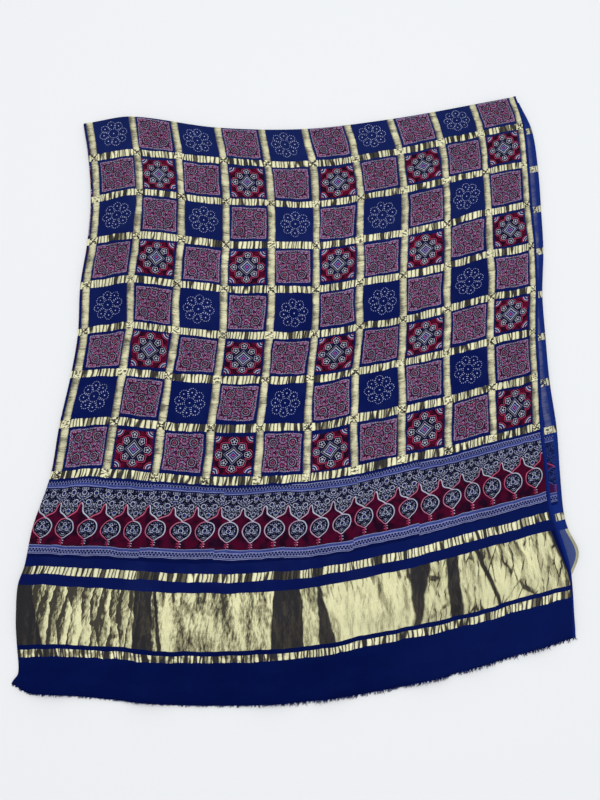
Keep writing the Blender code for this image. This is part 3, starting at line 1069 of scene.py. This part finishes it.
# How far down each printed block of the border slipped, from left to right, and how much of the pink
# outline shows beside the white one in it.
BLOCKS = (
    (-2.2, 0.9), (-2.1, 0.9), (-3.4, 0.8), (-2.0, 0.3), (-1.0, 0.4), (-2.3, 0.8), (-0.4, 0.7), (-0.1, 0.9),
)

# The lower edge of the leafy field between two roundels, from over a roundel (0) to between two (1),
# as a height above the roundels' middles.
OGEE_MM = (
    (0.0, 10.4), (0.08, 11.2), (0.20, 12.4), (0.45, 14.2), (0.68, 16.2),
    (0.78, 18.0), (0.82, 20.4), (0.855, 22.8), (0.92, 24.6), (1.0, 25.3),
)
# The height at which the curve of the ogee stands at 1.
OGEE_SCALE = 40


def ogee(away):
    """The ogee line at a distance beside a roundel's middle, as a height above it."""
    node = add_node(away.tree, "FloatCurve", {"Value": away / (ROUNDEL_PITCH / 2)})
    curve = node.mapping.curves[0]
    curve.points[0].location = (0.0, OGEE_MM[0][1] / OGEE_SCALE)
    curve.points[1].location = (1.0, OGEE_MM[-1][1] / OGEE_SCALE)
    for at, height in OGEE_MM[1:-1]:
        curve.points.new(at, height / OGEE_SCALE)
    node.mapping.update()
    return Field(node.outputs["Value"]) * OGEE_SCALE


def border_finish(reverse):
    """The end border: a leafy field over hanging roundels, between two bands of fine lines and spots."""
    material, across, along = start_finish("border_print")
    joints = [FIRST_JOINT + BLOCK_WIDTH * (block - 1) for block in range(len(BLOCKS))]
    slips = [(at, grey(slipped / 10 + 0.5)) for at, (slipped, pink) in zip(joints, BLOCKS)]
    slip = Field(banded(across, slips)) * 10 - 5
    pinks = [(at, grey(pink)) for at, (slipped, pink) in zip(joints, BLOCKS)]
    pinkness = Field(banded(across, pinks))
    v = along - slip + drift(across, along, 9.0, 0.9)
    u = across + drift(along, across, 9.0, 0.9)
    x = repeats(u, FIRST_ROUNDEL - ROUNDEL_PITCH / 2, ROUNDEL_PITCH)[1]
    side = abs(x)
    drop = v - ROUNDEL_LINE
    left = x.rise(0.3, -0.3)
    pale = colour(58, 78, 150) if reverse else colour(180, 186, 208)
    round_line = over(pale, PINK, left * pinkness)
    spire_line = over(pale, PINK, left.left_over() * pinkness)
    tail_line = over(pale, PINK, left)

    # Curls and hearts, mirrored about each roundel.
    leaf_away, leaf = cells(side, drop, 3.3, 0.95)
    broken = mottle(side, drop, 1.7, 0.0).rise(0.40, 0.50)
    curl = abs(leaf_away - 0.36).rise(0.135, 0.05) * broken
    heart = leaf_away.rise(0.16, 0.10) * parts(leaf.outputs["Color"])[1].rise(0.60, 0.62)
    leafy = over(BLACK, colour(52, 60, 112), cells(side, drop, 1.9, 0.8)[0].rise(0.28, 0.16))
    leafy = over(leafy, pale, curl * 0.9)
    leafy = over(leafy, colour(40, 52, 140), heart)
    spots = ((0, 0), (0, -35.4), (ROUNDEL_PITCH / 2, -35.4), (0, -17.0), (5.6, -26.2))
    rosettes = nearest_gap(side, drop, spots)
    rosette = banded(rosettes, (
        (0.0, colour(40, 50, 136)), (0.9, BLACK), (1.8, pale), (2.6, BLACK), (3.5, BLACK),
    ))
    leafy = over(leafy, rosette, rosettes.rise(3.20, 3.10) * (broken * 0.5 + 0.5))

    radius = gap(x, drop, (0, 0))
    tip = (drop / radius.most(0.5)).most(0.0).maths("POWER", 22.0) * 2.1
    disc = radius - tip
    roundel = over(leafy, BLACK, disc.near(ROUNDEL_RADIUS - 1.75, 1.3))
    roundel = over(roundel, round_line, disc.rise(ROUNDEL_RADIUS - 1.10, ROUNDEL_RADIUS - 0.90))

    height = drop * -1
    lower_edge = height - ogee(side - 0.5) + 0.45
    upper_edge = height - ogee(side + 0.5) - 0.45
    black_edge = height - ogee(side + 1.3) - 1.35
    red = over(colour(72, 2, 31), colour(30, 3, 22), mottle(u, v, 11.0).rise(0.36, 0.70))
    hue = over(leafy, BLACK, black_edge.rise(0.15, -0.15))
    hue = over(hue, spire_line, upper_edge.rise(0.15, -0.15))
    hue = over(hue, red, lower_edge.rise(0.15, -0.15))
    hue = over(hue, roundel, disc.rise(ROUNDEL_RADIUS + 0.1, ROUNDEL_RADIUS - 0.1))
    stem = side.rise(0.55, 0.25) * drop.rise(11.8, 12.2)
    hue = over(hue, PINK, stem * 0.8)
    for leaf_drop in (14.0, 16.8):
        dot = gap(side, (drop - leaf_drop) * 1.6 - side * 0.6, (1.5, -0.6)).rise(0.95, 0.55)
        hue = over(hue, tail_line, dot)

    # The narrow bands over and under the field: fine lines, and two rows of dark spots between them.
    plain = colour(58, 70, 136)
    line = colour(136, 142, 184)
    ground = colour(112, 120, 168)
    lower = banded(v, (
        (517.0, BLACK), (517.5, line), (518.2, plain), (520.8, line), (521.5, ground), (526.0, line),
        (526.6, INDIGO), (527.3, line), (528.0, INDIGO_DEEP), (531.0, INDIGO_DEEP),
    ))
    hue = over(hue, lower, v.rise(516.9, 517.1))
    upper = banded(v, (
        (440.0, INDIGO), (447.4, plain), (448.0, line), (448.6, ground), (453.0, plain), (455.2, line),
        (455.8, plain), (456.6, BLACK), (457.8, BLACK),
    ))
    hue = over(hue, upper, v.rise(457.7, 457.5))
    spot_x = repeats(u, 0, SPOT_PITCH)[1]
    spots = nearest_gap(spot_x, v, ((0, 449.8), (0, 522.8)))
    spots = spots.least(nearest_gap(abs(spot_x) - SPOT_PITCH / 2, v, ((0, 451.9), (0, 524.9))))
    hue = over(hue, colour(8, 14, 66), spots.rise(1.32, 0.92))
    cover, = use_group(wear_group, across, along, Strength=0.35)
    hue = over(colour(16, 16, 52), hue, cover)
    return end_finish(material, across, along, hue, reverse=reverse, sunk=0.2)


# In the order of FINISHES, first for the face and then for the reverse.
makers = (
    ground_finish, warp_bar_finish, weft_bar_finish, rosette_finish, medallion_finish, lattice_finish,
    border_finish, tissue_finish,
)
for reverse in (False, True):
    for make_finish in makers:
        cloth.data.materials.append(make_finish(reverse))

# The cloth is drawn in the table's own measures. This brings it over the frame.
shift = Vector((0, 0, 0))
for axis in (0, 1):
    places = [vert.co[axis] for vert in cloth.data.vertices]
    shift[axis] = (sum(corner[axis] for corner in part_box("cloth")) - min(places) - max(places)) / 2
for vert in cloth.data.vertices:
    vert.co += shift

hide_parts("cloth")
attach(cloth, "root")


# The loose threads
# The raw end was never hemmed. Its last crosswise threads have slipped off, and the ends of the
# lengthwise threads stick out a few millimetres, in small tufts.

# The threads start just inside the cloth, and are longer from a third of its width on to the right.
THREAD_RADIUS = 0.00020
TUFT_PITCH = 0.0020
THREADS_IN_TUFT = 5
THREAD_STEPS = 4
SHORTEST = 0.0012
LONGEST = 0.0028
LONGER_AT_RIGHT = 0.0030
ROOT_INSIDE = 0.0004

chance = random.Random(11)
threads = bpy.data.curves.new("frayed_threads", "CURVE")
threads.dimensions = "3D"
threads.bevel_depth = THREAD_RADIUS
threads.bevel_resolution = 0
threads.use_fill_caps = True
tufts = round(FRONT_WIDTH / TUFT_PITCH)
for side, width, count in (("front", FRONT_WIDTH, tufts), ("back", BACK_WIDTH, tufts // 3)):
    for tuft in range(count):
        u = width * (tuft + chance.random()) / count
        length = chance.uniform(SHORTEST, LONGEST)
        length += chance.uniform(0.0, LONGER_AT_RIGHT) * fade(u, 0.180, 0.300)
        lean = chance.uniform(-0.55, 0.15)
        for thread in range(THREADS_IN_TUFT):
            root_u = min(width, u + chance.uniform(-0.0008, 0.0008))
            root = cloth_point((side, root_u), ("shown", SHOWN_LENGTH - ROOT_INSIDE))
            sweep = lean + chance.uniform(-0.45, 0.45)
            reach = length * chance.uniform(0.55, 1.0)
            curl = chance.uniform(-0.5, 0.5)
            spline = threads.splines.new("POLY")
            spline.points.add(THREAD_STEPS)
            for step in range(THREAD_STEPS + 1):
                share = step / THREAD_STEPS
                x = root.x + reach * share * (sweep + curl * share)
                y = root.y - reach * share
                z = max(THREAD_RADIUS, root.z + 0.0003 * math.sin(math.pi * share) * chance.random())
                spline.points[step].co = (x, y, z, 1)
                spline.points[step].radius = 2.2 - 1.9 * share
frayed = bpy.data.objects.new("frayed_threads", threads)
bpy.context.scene.collection.objects.link(frayed)

material, tree = new_material("navy_thread")
coordinates = add_node(tree, "TexCoord", {})
x, y = [place * 1000 for place in parts(coordinates.outputs["Object"])[:2]]
navy = over(INDIGO_DEEP, colour(12, 28, 88), mottle(x, y, 1.2).rise(0.3, 0.7))
set_shader(material, {"Base Color": navy, "Roughness": 0.85, "Specular IOR Level": 0.04})
threads.materials.append(material)

bpy.ops.object.select_all(action="DESELECT")
bpy.context.view_layer.objects.active = frayed
frayed.select_set(True)
bpy.ops.object.convert(target="MESH")
frayed = bpy.context.active_object

for vert in frayed.data.vertices:
    vert.co += shift

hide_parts("frayed_end")
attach(frayed, "root")


# The studio
# A pale floor, one large soft light over the far side, and a camera over the raw end of the cloth.
bpy.ops.mesh.primitive_plane_add(size=16, location=(0, 0, 0))
floor = bpy.context.active_object
floor.name = "floor"
paper = new_material("pale_floor")[0]
set_shader(paper, {"Base Color": colour(240, 242, 244), "Roughness": 0.95, "Specular IOR Level": 0.0})
floor.data.materials.append(paper)

world = bpy.data.worlds.new("studio")
world.use_nodes = True
sky = world.node_tree.nodes["Background"]
sky.inputs["Color"].default_value = (0.985, 0.99, 1.0, 1)
sky.inputs["Strength"].default_value = 0.615
bpy.context.scene.world = world

bpy.ops.object.light_add(type="AREA", location=(0.1, 0.30, 2.8))
soft_box = bpy.context.active_object
soft_box.name = "soft_box"
soft_box.data.shape = "RECTANGLE"
soft_box.data.size = 2.4
soft_box.data.size_y = 1.8
soft_box.data.energy = 38
soft_box.rotation_euler = (math.radians(-6), 0, 0)

CAMERA_TILT = math.radians(14.5)
CAMERA_DISTANCE = 0.787
LOOKED_AT = Vector((0, 0, 0.005))
bpy.ops.object.camera_add()
camera = bpy.context.active_object
back_off = Vector((0, -math.sin(CAMERA_TILT), math.cos(CAMERA_TILT))) * CAMERA_DISTANCE
camera.location = LOOKED_AT + back_off + shift
camera.rotation_euler = (CAMERA_TILT, 0, 0)
camera.data.sensor_width = 36
camera.data.lens = 31.5
bpy.context.scene.camera = camera
bpy.context.scene.view_settings.view_transform = "Standard"
